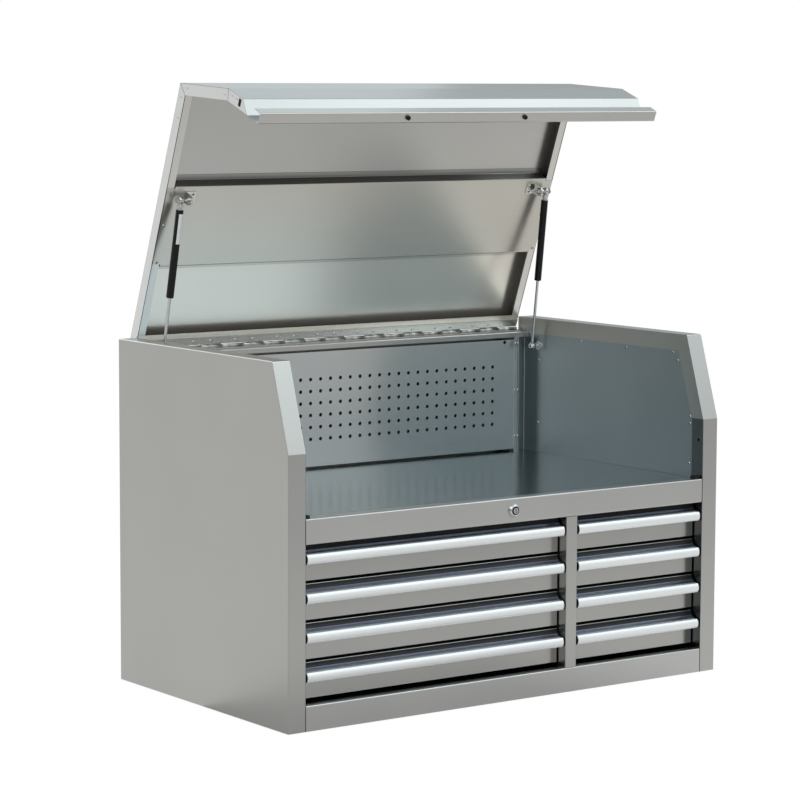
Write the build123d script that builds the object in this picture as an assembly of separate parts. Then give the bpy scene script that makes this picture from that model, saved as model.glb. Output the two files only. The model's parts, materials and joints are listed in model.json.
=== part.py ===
from build123d import *
import math
import os

# Top tool chest, in millimetres. +X is to the right seen from the front, +Y runs to the back,
# +Z is up, and the origin is the middle of the base. The lid is modelled shut, then swung open.

# Overall sizes
width = 1048.0  # across the two sides
depth = 610.0  # stile fronts to the back
height = 688.0  # base to the side tops, which the shut lid lies flush with

# Sheet metal
sheet = 1.2  # shell, rails and lid
liner_sheet = 0.9  # liners, till floor, pegboard and drawers
bend = 1.5  # inside radius of a fold
hem_bend = 0.6  # inside radius of a tight fold

# Sides and front frame
stile_width = 38.5
side_return = 34.0  # inner fold behind the stile, the slope and the side's top
slope_depth = 54.0  # how far the sloped front corner runs back
slope_share = 0.5926  # slope's share of the lid's front height
till_height = 398.5  # base to the top of the rail under the lid
top_rail_height = 48.5
top_rail_flange = 24.0
bottom_rail_height = 48.5
bottom_rail_flange = 22.0
bottom_rail_lip = 12.0
post_width = 27.5
post_flange = 28.0
left_opening = 618.0  # left stile to the post
pan_wall = 25.0
liner_inset = 8.0  # liner edge to the side's edge
latch_hole_radius = 4.0
latch_from_front = 14.0
latch_above_grip = 8.0

# Back, header, pegboard and till
header_drop = 30.0  # side tops to the top of the rear header
header_depth = 36.0
header_lip = 11.7
header_gap = 0.5
floor_flange = 16.0
peg_pitch = 25.0
peg_hole_radius = 3.6
peg_top_margin = 56.8  # pegboard top edge to the first row
peg_low_margin = 45.0  # least bare height under the last row
peg_side_margin = 60.0  # least bare width beside the holes
peg_side_gap = 30.5  # stile's inner edge to the pegboard's end
peg_gap_top = 5.0
peg_gap_bottom = 5.0
peg_post_from_side = 39.5  # stile's inner edge to the post's front strip
peg_post_strip = 15.0
peg_post_foot = 14.0

# Drawers
drawer_rows = 4
face_top_gap = 3.0
face_bottom_gap = 8.0
face_row_gap = 5.0
face_side_gap = 3.0
face_setback = 25.0  # drawer face behind the stile front
face_flange = 14.0
box_below_face_top = 9.0
box_above_face_bottom = 5.0
box_hem = 8.0
box_back_gap = 45.0
slide_space = 12.7  # wall to drawer side
slide_height = 35.0
slide_sheet = 1.2
slide_play = 0.3
slide_end_gap = 4.0
outer_slide_depth = 7.0
middle_slide_depth = 8.0
inner_slide_depth = 8.5

# Drawer pulls
pull_wall = 2.2
pull_drop = 16.0  # face top to the top edge of the front lip
pull_lip = 18.0
pull_bulge = 3.5
pull_leg = 32.0
pull_cap = 2.0
pull_cove_reach = 0.28  # cove's middle, as shares of the pull's reach and drop
pull_cove_sink = 0.72
pull_root = 0.55  # where the web meets the leg, as a share of the drop
pull_nose = 0.6  # wall at the lip's top and under the cove, as shares of the wall
pull_web = 0.78

# Lid
lid_side_gap = 2.5
lid_open_angle = 69.0
lid_slope_lead = 1.1  # lid slope in front of the side slope
lid_rest_gap = 5.5  # shut lid above the rail
lid_grip_share = 0.155  # grip channel's mouth above the lip, as a share of the lid's front height
lid_grip_drop = 24.0  # height of the channel's sloped upper side
lid_lip_share = 0.074
lid_lip_setback = 1.8  # lip's top edge behind the lid's front
lid_lip_tuck = 1.1
lid_lip_flange = 21.0
lid_skirt_return = 18.0
lid_rear_return = 26.0
lid_rear_gap = 0.3
latch_slot_length = 15.0
latch_slot_width = 9.0
latch_slot_lead = 3.0  # slot's middle in front of the side's latch hole
stiffener_lead = 25.0  # upper strut stud to the stiffener's front edge
stiffener_width = 178.0
stiffener_flange = 12.0
stiffener_slant = 4.0
stiffener_end_gap = 2.0
stiffener_tab_inset = 4.0
bumper_radius = 6.0
bumper_spacing = 286.0
rest_play = 0.3
pad_width = 14.0
pad_length = 16.0
pad_from_front = 6.0

# Piano hinge
pin_radius = 2.0
pin_play = 0.05
leaf = 1.45
leaf_width = 20.0
knuckles = 19
knuckle_gap = 1.0
pin_behind_back = 4.0
leaf_relief = 0.3

# Gas struts
strut_from_side = 29.8  # stile's inner edge to the upper stud's eye
strut_lower_from_side = 17.7
strut_upper_reach = 332.0  # hinge pin to the upper stud, lid shut
strut_upper_drop = 40.5  # shut lid's skin to the upper stud
strut_lower_from_back = 71.4
strut_lower_drop = 58.9
strut_radius = 7.5
strut_bore = 6.5
strut_cylinder_share = 0.518  # of the length between the studs, lid open
strut_neck = 19.0
rod_radius = 3.0
rod_play = 0.05
rod_share = 0.592
piston_play = 0.3
piston_length = 12.0
gland_length = 14.0
eye_radius = 8.0
neck_radius = 4.0
stud_radius = 4.0
stud_play = 0.06
stud_head_radius = 6.0
stud_head = 2.0
stud_gap = 0.3
stud_base_radius = 10.0
bracket_sheet = 2.5
bracket_disc_radius = 11.0
bracket_offset = 16.5  # bracket plate to the strut's centre line
bracket_base = 24.0

# Lock
lock_face_radius = 13.5
lock_face = 6.0
lock_body_radius = 9.5
lock_body = 24.0
lock_hole_play = 0.1
plug_radius = 6.0
plug_play = 0.05
plug_proud = 1.0
keyway_width = 1.4
keyway_length = 8.0
keyway_depth = 7.0
cam_length = 20.0
cam_width = 12.0
cam_sheet = 2.5
cam_gap = 1.0

# Planes and lines that several pieces share
front = -depth / 2
rear = depth / 2
side_x = width / 2
inner_x = side_x - stile_width
liner_x = inner_x + sheet
lid_bottom = till_height + lid_rest_gap
front_height = height - lid_bottom
slope_height = slope_share * front_height
lid_grip_height = lid_grip_share * front_height
lid_lip_height = lid_lip_share * front_height
slope_z = height - slope_height
opening_top = till_height - top_rail_height
opening_low = bottom_rail_height
post_left = left_opening - inner_x
post_right = post_left + post_width
back_face = rear - sheet
back_inside = back_face - sheet
header_top = height - header_drop
lip_y = back_face - header_depth
floor_top = till_height - sheet
peg_face = lip_y + sheet
latch_y = front + latch_from_front
grip_top = lid_bottom + lid_lip_height + lid_grip_height
latch_z = grip_top + latch_above_grip
lock_z = till_height - top_rail_height / 2
lid_x = inner_x - lid_side_gap
knuckle_radius = pin_radius + pin_play + leaf
pin_y = rear + pin_behind_back
pin_z = header_top + knuckle_radius
hinge_axis = Axis((0, pin_y, pin_z), (1, 0, 0))
skirt_z = pin_z + knuckle_radius
lid_skirt = height - skirt_z
lid_rear = rear - lid_rear_gap


def offset_path(points, distance):
    """Moves an open run of points to the right of its heading, mitred at the corners."""
    headings = []
    for start, end in zip(points, points[1:]):
        length = math.dist(start, end)
        headings.append(((end[0] - start[0]) / length, (end[1] - start[1]) / length))
    before = headings[:1] + headings
    after = headings + headings[-1:]
    moved = []
    for point, old, new in zip(points, before, after):
        reach = distance / (1 + old[0] * new[0] + old[1] * new[1])
        moved.append((point[0] + (old[1] + new[1]) * reach, point[1] - (old[0] + new[0]) * reach))
    return moved


def folded(points, thickness, radius=bend):
    """Section of a folded sheet: points run along its outer side, the sheet lies to their right."""
    outer_radii = []
    inner_radii = []
    for a, b, c in zip(points, points[1:], points[2:]):
        turn = (b[0] - a[0]) * (c[1] - b[1]) - (b[1] - a[1]) * (c[0] - b[0])
        outer_radii.append(radius + thickness if turn < 0 else radius)
        inner_radii.append(radius if turn < 0 else radius + thickness)
    inner = offset_path(points, thickness)
    outer_side = FilletPolyline(*points, radius=outer_radii)
    inner_side = FilletPolyline(*inner, radius=inner_radii)
    ends = [Line(points[0], inner[0]), Line(points[-1], inner[-1])]
    return make_face(outer_side.edges() + inner_side.edges() + [line.edge() for line in ends])


def polygon(points):
    return make_face(Polyline(*points, close=True).edges())


def along_x(section, start, end):
    """Extrudes a section drawn in (y, z) between two X planes."""
    return extrude(Plane.YZ.offset(start) * section, amount=end - start)


def along_y(section, start, end):
    """Extrudes a section drawn in (x, z) between two Y planes."""
    return extrude(Plane.XZ.offset(-start) * section, amount=end - start, dir=(0, 1, 0))


def along_z(section, start, end):
    """Extrudes a section drawn in (x, y) between two Z planes."""
    return extrude(Plane.XY.offset(start) * section, amount=end - start)


def block(low, high):
    size = [b - a for a, b in zip(low, high)]
    return Pos(*[(a + b) / 2 for a, b in zip(low, high)]) * Box(*size)


def rod_x(radius, start, end, y, z):
    """Round bar along X."""
    return Pos((start + end) / 2, y, z) * Rot(0, 90, 0) * Cylinder(radius, end - start)


def rod_y(radius, start, end, x, z):
    """Round bar along Y."""
    return Pos(x, (start + end) / 2, z) * Rot(90, 0, 0) * Cylinder(radius, end - start)


def mirrored(shape):
    return mirror(shape, about=Plane.YZ)


def write(name, *solids):
    """Writes one node, of one solid or of several that lie apart."""
    shape = solids[0] if len(solids) == 1 else Compound(children=list(solids))
    export_step(shape, f"parts/{name}.step")


# Cabinet shell


def side_panel():
    """Right side: skin, wrapped rim with the sloped front corner, and the inner fold."""
    rim_path = [(front, 0), (front, slope_z), (front + slope_depth, height), (rear, height), (rear, 0)]
    rim_edge = FilletPolyline(*rim_path, radius=bend + sheet)
    skin = make_face(rim_edge.edges() + [Line(rim_path[-1], rim_path[0]).edge()])
    fold_path = [(front, sheet), rim_path[1], rim_path[2], (back_inside, height)]
    fold = offset_path(fold_path, sheet / 2) + offset_path(fold_path, side_return)[::-1]
    panel = along_x(skin, side_x - sheet, side_x)
    panel += along_x(folded(rim_path, sheet), inner_x, side_x)
    panel += along_x(polygon(fold), inner_x, liner_x)
    panel -= rod_x(latch_hole_radius, inner_x - sheet, liner_x + sheet, latch_y, latch_z)
    outer_edges = panel.edges().filter_by_position(Axis.X, side_x - sheet / 4, side_x + sheet / 4)
    folds = [edge for edge in outer_edges if edge.center().Z > sheet]
    return fillet(folds, bend)


def back_panel():
    """Back sheet with the rear header folded forward and down, and wings behind the sides."""
    half = inner_x - header_gap
    header = [(lip_y, header_top - header_lip), (lip_y, header_top), (back_face, header_top), (back_face, 0)]
    wing = block((half, back_inside, 0), (side_x - sheet, back_face, height - sheet - bend))
    return along_x(folded(header, sheet), -half, half) + wing + mirrored(wing)


def bottom_pan():
    half = side_x - sheet
    tray = [(half, pan_wall), (half, 0), (-half, 0), (-half, pan_wall)]
    return along_y(folded(tray, sheet), front + sheet, back_inside)


def top_rail():
    """Rail over the drawers, open to the back, with the lock's hole."""
    rail = [
        (front + top_rail_flange, opening_top),
        (front, opening_top),
        (front, till_height),
        (front + top_rail_flange, till_height),
    ]
    hole = rod_y(lock_body_radius + lock_hole_play, front - sheet, front + 2 * sheet, 0, lock_z)
    return along_x(folded(rail, sheet), -inner_x, inner_x) - hole


def bottom_rail():
    rail = [
        (front, 0),
        (front, bottom_rail_height),
        (front + bottom_rail_flange, bottom_rail_height),
        (front + bottom_rail_flange, bottom_rail_height - bottom_rail_lip),
    ]
    return along_x(folded(rail, sheet), -inner_x, inner_x)


def center_post():
    back_edge = front + post_flange
    post = [(post_right, back_edge), (post_right, front), (post_left, front), (post_left, back_edge)]
    return along_z(folded(post, sheet), opening_low, opening_top)


def divider_wall():
    """Folded wall between the drawer banks, which also carries the till floor."""
    top = floor_top - liner_sheet
    wall = [(post_left, sheet), (post_left, top), (post_right, top), (post_right, sheet)]
    return along_y(folded(wall, sheet), front + post_flange, back_inside)


def side_liner():
    """Right inner wall, which closes the till's side and carries the drawer slides."""
    edge = [(front, sheet), (front, slope_z), (front + slope_depth, height), (back_inside, height)]
    inset = offset_path(edge, liner_inset)
    return along_x(polygon(inset + [(back_inside, sheet)]), liner_x, liner_x + liner_sheet)


# Till


def till_floor():
    low = floor_top - floor_flange
    floor = [(-inner_x, low), (-inner_x, floor_top), (inner_x, floor_top), (inner_x, low)]
    return along_y(folded(floor, liner_sheet), front + sheet + bend, back_inside)


def pegboard_panel():
    """Perforated panel behind the till."""
    top = header_top - header_lip - peg_gap_top
    low = floor_top + peg_gap_bottom
    half = inner_x - peg_side_gap
    columns = int(2 * (half - peg_side_margin) / peg_pitch) + 1
    rows = int((top - low - peg_top_margin - peg_low_margin) / peg_pitch) + 1
    middle_row = top - peg_top_margin - (rows - 1) * peg_pitch / 2
    panel = Pos(0, (top + low) / 2) * Rectangle(2 * half, top - low)
    grid = GridLocations(peg_pitch, peg_pitch, columns, rows)
    holes = [Pos(0, middle_row) * spot * Circle(peg_hole_radius) for spot in grid]
    return along_y(panel - holes, peg_face, peg_face + liner_sheet)


def peg_post():
    """Right upright that holds the pegboard off the back."""
    strip_x = inner_x - peg_post_from_side
    leg_x = strip_x + peg_post_strip
    foot_y = back_inside - sheet
    post = [(leg_x + peg_post_foot, foot_y), (leg_x, foot_y), (leg_x, lip_y), (strip_x, lip_y)]
    return along_z(folded(post, sheet), floor_top, header_top - header_lip)


def corner_pad():
    """Rubber rest for the lid's right front corner."""
    pad_y = front + pad_from_front
    top = till_height + lid_rest_gap - rest_play
    pad = block((inner_x - pad_width, pad_y, till_height), (inner_x, pad_y + pad_length, top))
    return fillet(pad.edges().filter_by(Axis.Z), bend)


# Lock


def lock_barrel():
    face = rod_y(lock_face_radius, front - lock_face, front, 0, lock_z)
    rim = face.edges().group_by(Axis.Y)[0]
    face = fillet(rim, lock_face / 3)
    body = rod_y(lock_body_radius, front, front + lock_body, 0, lock_z)
    bore = rod_y(plug_radius + plug_play, front - 2 * lock_face, front + 2 * lock_body, 0, lock_z)
    return face + body - bore


def lock_plug():
    """Turning plug with its keyway and the cam on its tail."""
    nose = front - lock_face - plug_proud
    cam_y = front + lock_body + cam_gap
    plug = rod_y(plug_radius, nose, cam_y + cam_sheet, 0, lock_z)
    half_slot = keyway_width / 2
    slot_low = (-half_slot, nose - sheet, lock_z - keyway_length / 2)
    plug -= block(slot_low, (half_slot, nose + keyway_depth, lock_z + keyway_length / 2))
    arm = SlotCenterToCenter(cam_length - cam_width / 2, cam_width)
    arm = Pos((cam_length - cam_width / 2) / 2, lock_z) * arm
    return plug + along_y(arm, cam_y, cam_y + cam_sheet)


# Drawers and their slides

box_depth = depth - face_setback - face_flange - box_back_gap
box_front = front + face_setback + face_flange
slide_start = box_front + slide_end_gap
slide_length = box_depth - 2 * slide_end_gap
row_pitch = (opening_top - opening_low - face_top_gap - face_bottom_gap + face_row_gap) / drawer_rows
face_height = row_pitch - face_row_gap
banks = {
    "left": (-inner_x, post_left, -liner_x, post_left),
    "right": (post_right, inner_x, post_right, liner_x),
}


def slide_section(start, end, tall):
    """Channel section in (x, z) that opens from start towards end."""
    half = tall / 2
    if start < end:
        path = [(end, -half), (start, -half), (start, half), (end, half)]
    else:
        path = [(end, half), (start, half), (start, -half), (end, -half)]
    return folded(path, slide_sheet, hem_bend)


def slide_pair(kind, left_wall, right_wall, middle_z):
    """The two members of one kind on a drawer, which nest inside each other."""
    step = slide_sheet + slide_play
    sections = {
        "outer": slide_section(0, outer_slide_depth, slide_height),
        "middle": slide_section(step, step + middle_slide_depth, slide_height - 2 * step),
        "inner": slide_section(slide_space, slide_space - inner_slide_depth, slide_height - 4 * step),
    }
    member = along_y(sections[kind], slide_start, slide_start + slide_length)
    return [Pos(left_wall, 0, middle_z) * member, Pos(right_wall, 0, middle_z) * mirrored(member)]


def drawer_box(left, right, left_wall, right_wall, face_top):
    """Folded tray with hemmed sides behind a flanged face."""
    face_low = face_top - face_height
    face_y = front + face_setback
    tray_left = left_wall + slide_space
    tray_right = right_wall - slide_space
    top = face_top - box_below_face_top
    low = face_low + box_above_face_bottom
    tray = [
        (tray_right - box_hem, top),
        (tray_right, top),
        (tray_right, low),
        (tray_left, low),
        (tray_left, top),
        (tray_left + box_hem, top),
    ]
    face = [
        (face_y + face_flange, face_low),
        (face_y, face_low),
        (face_y, face_top),
        (face_y + face_flange, face_top),
    ]
    end_low = (tray_left + sheet, box_front, low)
    end_high = (tray_right - sheet, box_front + liner_sheet, top - sheet)
    end_wall = block(end_low, end_high)
    back_shift = Pos(0, box_depth - liner_sheet, 0)
    box = along_y(folded(tray, liner_sheet, hem_bend), box_front, box_front + box_depth)
    box += end_wall + back_shift * end_wall
    ends = (left + face_side_gap, right - face_side_gap)
    back_low = (ends[0], box_front - liner_sheet, face_low + liner_sheet / 2)
    back_high = (ends[1], box_front, face_top - liner_sheet / 2)
    return box + along_x(folded(face, liner_sheet, hem_bend), *ends) + block(back_low, back_high)


def pull_front(face_top):
    """Cove and rounded front lip of a pull, from the face's top to the lip's lower edge."""
    face_y = front + face_setback
    lip_y_back = front + pull_bulge
    lip_top = face_top - pull_drop
    lip_low = lip_top - pull_lip
    cove_top = (face_y, face_top - pull_wall / 2)
    cove_middle = (face_y - pull_cove_reach * (face_y - lip_y_back), face_top - pull_cove_sink * pull_drop)
    lip_middle = (front, (lip_top + lip_low) / 2)
    return cove_top, cove_middle, (lip_y_back, lip_top), lip_middle, (lip_y_back, lip_low)


def arc_run(points):
    """Arcs through every three points of a run, each starting where the last one ends."""
    return [ThreePointArc(*points[i : i + 3]).edge() for i in range(0, len(points) - 2, 2)]


def pull_bar(left, right, face_top):
    """Extruded pull: back leg, cove and rounded front lip with a finger space under it."""
    outside = pull_front(face_top)
    cove_top, cove_middle, lip_top, lip_middle, lip_low = outside
    leg_y = cove_top[0] - pull_wall
    leg_low = face_top - pull_leg
    inside = [
        (lip_low[0] + pull_wall, lip_low[1]),
        (lip_middle[0] + pull_wall, lip_middle[1]),
        (lip_top[0] + pull_wall * pull_nose, lip_top[1] - pull_wall),
        (cove_middle[0] - pull_wall * pull_web, cove_middle[1] - pull_wall * pull_web),
        (leg_y, face_top - pull_root * pull_drop),
    ]
    straights = [lip_low, inside[0]], [inside[-1], (leg_y, leg_low), (cove_top[0], leg_low), cove_top]
    edges = arc_run(outside) + arc_run(inside)
    for run in straights:
        edges += Polyline(*run).edges()
    return along_x(make_face(edges), left + pull_cap, right - pull_cap)


def pull_end(face_top, start):
    """Moulded cap that closes one end of a pull."""
    outside = pull_front(face_top)
    back = Polyline(outside[-1], (outside[0][0], outside[-1][1]), outside[0])
    return along_x(make_face(arc_run(outside) + back.edges()), start, start + pull_cap)


def drawers():
    """Writes the drawers, pulls and middle slides, and returns the fixed slide members."""
    outer_members = []
    for bank, (left, right, left_wall, right_wall) in banks.items():
        for row in range(drawer_rows):
            name = f"{bank}_{row + 1}"
            face_top = opening_top - face_top_gap - row * row_pitch
            middle_z = face_top - (box_below_face_top + face_height - box_above_face_bottom) / 2
            walls = (left_wall, right_wall, middle_z)
            outer_members += slide_pair("outer", *walls)
            box = drawer_box(left, right, left_wall, right_wall, face_top)
            write(f"drawer_{name}_box", box, *slide_pair("inner", *walls))
            write(f"drawer_{name}_slide", *slide_pair("middle", *walls))
            ends = (left + face_side_gap, right - face_side_gap)
            bar = pull_bar(*ends, face_top)
            caps = [pull_end(face_top, ends[0]), pull_end(face_top, ends[1] - pull_cap)]
            write(f"drawer_{name}_pull", bar, *caps)
    return outer_members


# Lid, drawn shut

slope_top_y = front + slope_depth - lid_slope_lead
slope_run = slope_top_y - front
slope_drop = slope_height * slope_run / slope_depth
lip_foot_y = front + lid_lip_setback + lid_lip_tuck
grip_y = lip_foot_y + lid_lip_flange
lid_front = [
    (slope_top_y, height),
    (front, height - slope_drop),
    (front, grip_top),
    (grip_y, grip_top - lid_grip_drop),
]
lip_inside = [
    (grip_y, lid_bottom + sheet),
    (lip_foot_y + sheet, lid_bottom + sheet),
    (front + lid_lip_setback + sheet, lid_bottom + lid_lip_height),
]


def opened(shape):
    return shape.rotate(hinge_axis, -lid_open_angle)


def lid_shell():
    """One folded sheet: front lip, grip channel, front, slope, top and rear channel."""
    rear_channel = [(lid_rear, height), (lid_rear, skirt_z), (lid_rear - lid_rear_return, skirt_z)]
    path = lip_inside[::-1] + lid_front[::-1] + rear_channel
    return along_x(folded(path, sheet), -lid_x, lid_x)


def lid_end():
    """Right end of the lid: the skirt and its inner return, from the grip channel round to the hinge."""
    rear_end = (lid_rear - sheet - bend, height)
    edge = offset_path(lid_front[::-1] + [rear_end], sheet)
    deep = offset_path([(front, lid_bottom)] + lid_front[1::-1] + [rear_end], lid_skirt)
    fall = (edge[0][1] - edge[1][1]) / (edge[0][0] - edge[1][0])
    corner = (deep[0][0], edge[1][1] + fall * (deep[0][0] - edge[1][0]))
    outside = FilletPolyline(corner, *edge[1:], radius=bend)
    inside = Polyline(corner, *deep[1:])
    skirt = make_face(outside.edges() + inside.edges() + [Line(edge[-1], deep[-1]).edge()])
    channel = block((0, lid_rear - lid_rear_return, skirt_z - sheet), (lid_x, lid_rear, skirt_z + sheet))
    fold_start = (front, corner[1] + sheet + bend)
    fold_end = (lid_rear - lid_rear_return, height)
    fold_path = offset_path([fold_start] + lid_front[1::-1] + [fold_end], lid_skirt - sheet)
    fold = along_x(folded(fold_path, sheet), lid_x - lid_skirt_return, lid_x)
    slot = Pos(latch_y - latch_slot_lead, latch_z) * Rectangle(latch_slot_length, latch_slot_width)
    return along_x(skirt, lid_x - sheet, lid_x) + fold - channel - along_x(slot, lid_x - 2 * sheet, lid_x)


def lid_stiffener():
    """Hat-shaped stiffener across the inside of the lid, with a tab over each end's return."""
    seat = height - sheet
    start = pin_y - strut_upper_reach - stiffener_lead
    end = start + stiffener_width
    half = lid_x - lid_skirt_return - stiffener_end_gap
    face_start = start + stiffener_slant
    face_end = end - stiffener_slant
    hat = [
        (start - stiffener_flange, seat),
        (start, seat),
        (face_start, skirt_z),
        (face_end, skirt_z),
        (end, seat),
        (end + stiffener_flange, seat),
    ]
    tab_low = (half, face_start + stiffener_tab_inset, skirt_z - sheet)
    tab = block(tab_low, (lid_x - stiffener_end_gap, face_end - stiffener_tab_inset, skirt_z))
    return along_x(folded(hat, sheet), -half, half) + tab + mirrored(tab)


def lid_bumper():
    """Right rubber bumper under the lid's bottom flange."""
    y = lip_foot_y + lid_lip_flange / 2
    low = till_height + rest_play
    bumper = Pos(bumper_spacing / 2, y, (low + lid_bottom) / 2) * Cylinder(bumper_radius, lid_bottom - low)
    rim = bumper.edges().group_by(Axis.Z)[0]
    return fillet(rim, bend)


# Piano hinge, its lid half drawn shut


def hinge_leaf(side):
    """Leaf and its share of the knuckles: side is 1 for the lid's half, -1 for the fixed half."""
    outside = pin_z + side * knuckle_radius
    inside = pin_z + side * (knuckle_radius - leaf)
    edge = pin_y - knuckle_radius - leaf_relief
    low_z = min(outside, inside)
    high_z = max(outside, inside)
    plate = block((-lid_x, pin_y - leaf_width, low_z), (lid_x, edge, high_z))
    pitch = 2 * lid_x / knuckles
    first = 1 if side > 0 else 0
    for index in range(first, knuckles, 2):
        start = -lid_x + index * pitch + knuckle_gap / 2
        end = start + pitch - knuckle_gap
        plate += block((start, edge, low_z), (end, pin_y, high_z))
        plate += rod_x(knuckle_radius, start, end, pin_y, pin_z)
    bore = pin_radius + pin_play if side > 0 else pin_radius
    return plate - rod_x(bore, -side_x, side_x, pin_y, pin_z)


def hinge_pin():
    return rod_x(pin_radius, -lid_x, lid_x, pin_y, pin_z)


# Gas struts on the right, drawn at the lid's open angle


def swung(point):
    """Point of the shut lid carried to the open lid."""
    angle = math.radians(-lid_open_angle)
    y = point[1] - pin_y
    z = point[2] - pin_z
    turned_y = y * math.cos(angle) - z * math.sin(angle)
    turned_z = y * math.sin(angle) + z * math.cos(angle)
    return (point[0], pin_y + turned_y, pin_z + turned_z)


strut_x = inner_x - strut_from_side
upper_shut = (strut_x, pin_y - strut_upper_reach, height - strut_upper_drop)
upper_eye = swung(upper_shut)
lower_eye = (inner_x - strut_lower_from_side, rear - strut_lower_from_back, height - strut_lower_drop)
strut_length = math.dist(upper_eye, lower_eye)
strut_plane = Plane(upper_eye, z_dir=Vector(upper_eye) - Vector(lower_eye))
barrel_low = -strut_neck - strut_cylinder_share * strut_length


def strut_placed(shape):
    """Puts a strut piece, drawn hanging from its upper eye, between the two studs."""
    return strut_plane.location * shape


def bar_z(radius, low, high):
    return Pos(0, 0, (low + high) / 2) * Cylinder(radius, high - low)


def strut_cylinder():
    """Hollow cylinder with its gland, neck and upper eye."""
    barrel = bar_z(strut_radius, barrel_low, -strut_neck)
    barrel = fillet(barrel.edges().filter_by(GeomType.CIRCLE), bend)
    barrel -= bar_z(strut_bore, barrel_low + gland_length, -strut_neck - gland_length / 2)
    barrel -= bar_z(rod_radius + rod_play, barrel_low - sheet, barrel_low + 2 * gland_length)
    body = strut_placed(Sphere(eye_radius) + bar_z(neck_radius, -strut_neck, 0) + barrel)
    reach = 2 * eye_radius
    return body - rod_x(stud_radius + stud_play, strut_x - reach, strut_x + reach, *upper_eye[1:])


def strut_rod():
    """Rod with the piston inside the cylinder and the lower eye."""
    piston_top = (rod_share - 1) * strut_length
    rod = bar_z(rod_radius, -strut_length, piston_top)
    piston = bar_z(strut_bore - piston_play, piston_top - piston_length, piston_top)
    return rod + piston + Pos(0, 0, -strut_length) * Sphere(eye_radius)


def strut_upper_bracket():
    """Plate on the lid's stiffener with the stud that carries the upper eye."""
    plate_x = strut_x - bracket_offset
    y = upper_shut[1]
    z = upper_shut[2]
    seat = skirt_z - sheet
    half = bracket_disc_radius
    tab = polygon([(y - half, z), (y - half, seat), (y + half, seat), (y + half, z)])
    tab += Pos(y, z) * Circle(bracket_disc_radius)
    bracket = along_x(tab, plate_x - bracket_sheet, plate_x)
    bracket += block((plate_x - bracket_base, y - half, seat - bracket_sheet), (plate_x, y + half, seat))
    shank_end = strut_x + eye_radius + stud_gap
    bracket += rod_x(stud_radius, plate_x, shank_end, y, z)
    return bracket + rod_x(stud_head_radius, shank_end, shank_end + stud_head, y, z)


def strut_lower_stud():
    """Stud on the side liner that the rod's eye sits against."""
    shank_end = lower_eye[0] + eye_radius + stud_gap
    base = rod_x(stud_base_radius, liner_x - stud_head, liner_x, *lower_eye[1:])
    return base + rod_x(stud_radius, shank_end, liner_x, *lower_eye[1:])


def both_sides(name, shape):
    """Writes a right-hand piece and its left-hand mirror as two nodes."""
    write(name.format("right"), shape)
    write(name.format("left"), mirrored(shape))


def pair(name, shape):
    """Writes a right-hand piece and its left-hand mirror as one node."""
    write(name, shape, mirrored(shape))


os.makedirs("parts", exist_ok=True)

both_sides("side_panel_{}", side_panel())
both_sides("side_liner_{}", side_liner())
write("back_panel", back_panel())
write("bottom_pan", bottom_pan())
write("top_rail", top_rail())
write("bottom_rail", bottom_rail())
write("center_post", center_post())
write("divider_wall", divider_wall())
write("till_floor", till_floor())
write("pegboard_panel", pegboard_panel())
pair("pegboard_posts", peg_post())
pair("till_corner_pads", corner_pad())
write("lock_barrel", lock_barrel())
write("lock_plug", lock_plug())
write("slide_outer_members", *drawers())
write("lid_shell", opened(lid_shell()))
both_sides("lid_end_{}", opened(lid_end()))
write("lid_stiffener", opened(lid_stiffener()))
pair("lid_bumpers", opened(lid_bumper()))
write("hinge_fixed_leaf", hinge_leaf(-1))
write("hinge_lid_leaf", opened(hinge_leaf(1)))
write("hinge_pin", hinge_pin())
both_sides("strut_{}_cylinder", strut_cylinder())
both_sides("strut_{}_rod", strut_placed(strut_rod()))
pair("strut_upper_brackets", opened(strut_upper_bracket()))
pair("strut_lower_studs", strut_lower_stud())
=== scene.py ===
import json
import math

import bmesh
import bpy
from mathutils import Matrix, Quaternion, Vector


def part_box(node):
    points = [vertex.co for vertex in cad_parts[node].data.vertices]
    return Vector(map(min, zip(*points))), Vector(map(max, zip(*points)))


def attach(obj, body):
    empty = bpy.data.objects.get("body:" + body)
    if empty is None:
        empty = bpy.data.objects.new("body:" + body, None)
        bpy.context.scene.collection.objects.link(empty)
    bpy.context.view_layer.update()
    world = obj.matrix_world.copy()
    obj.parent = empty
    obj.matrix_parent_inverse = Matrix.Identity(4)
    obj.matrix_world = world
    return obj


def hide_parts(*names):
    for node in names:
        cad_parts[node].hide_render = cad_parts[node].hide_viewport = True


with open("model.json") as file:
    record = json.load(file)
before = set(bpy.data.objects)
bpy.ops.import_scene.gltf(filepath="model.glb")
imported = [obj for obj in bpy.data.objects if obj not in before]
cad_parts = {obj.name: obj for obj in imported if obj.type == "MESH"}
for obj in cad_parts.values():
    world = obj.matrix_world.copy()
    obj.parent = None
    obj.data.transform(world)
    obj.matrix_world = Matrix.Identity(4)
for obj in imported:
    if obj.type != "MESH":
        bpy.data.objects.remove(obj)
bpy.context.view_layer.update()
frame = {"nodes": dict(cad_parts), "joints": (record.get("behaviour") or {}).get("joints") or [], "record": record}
nodes = frame["nodes"]
joint = {row["name"]: row for row in frame["joints"]}
scene = bpy.context.scene
scene.view_settings.view_transform = "Standard"

MM = 0.001
SIDES = (-1, 1)
SIDE_NAMES = {-1: "left", 1: "right"}

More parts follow.
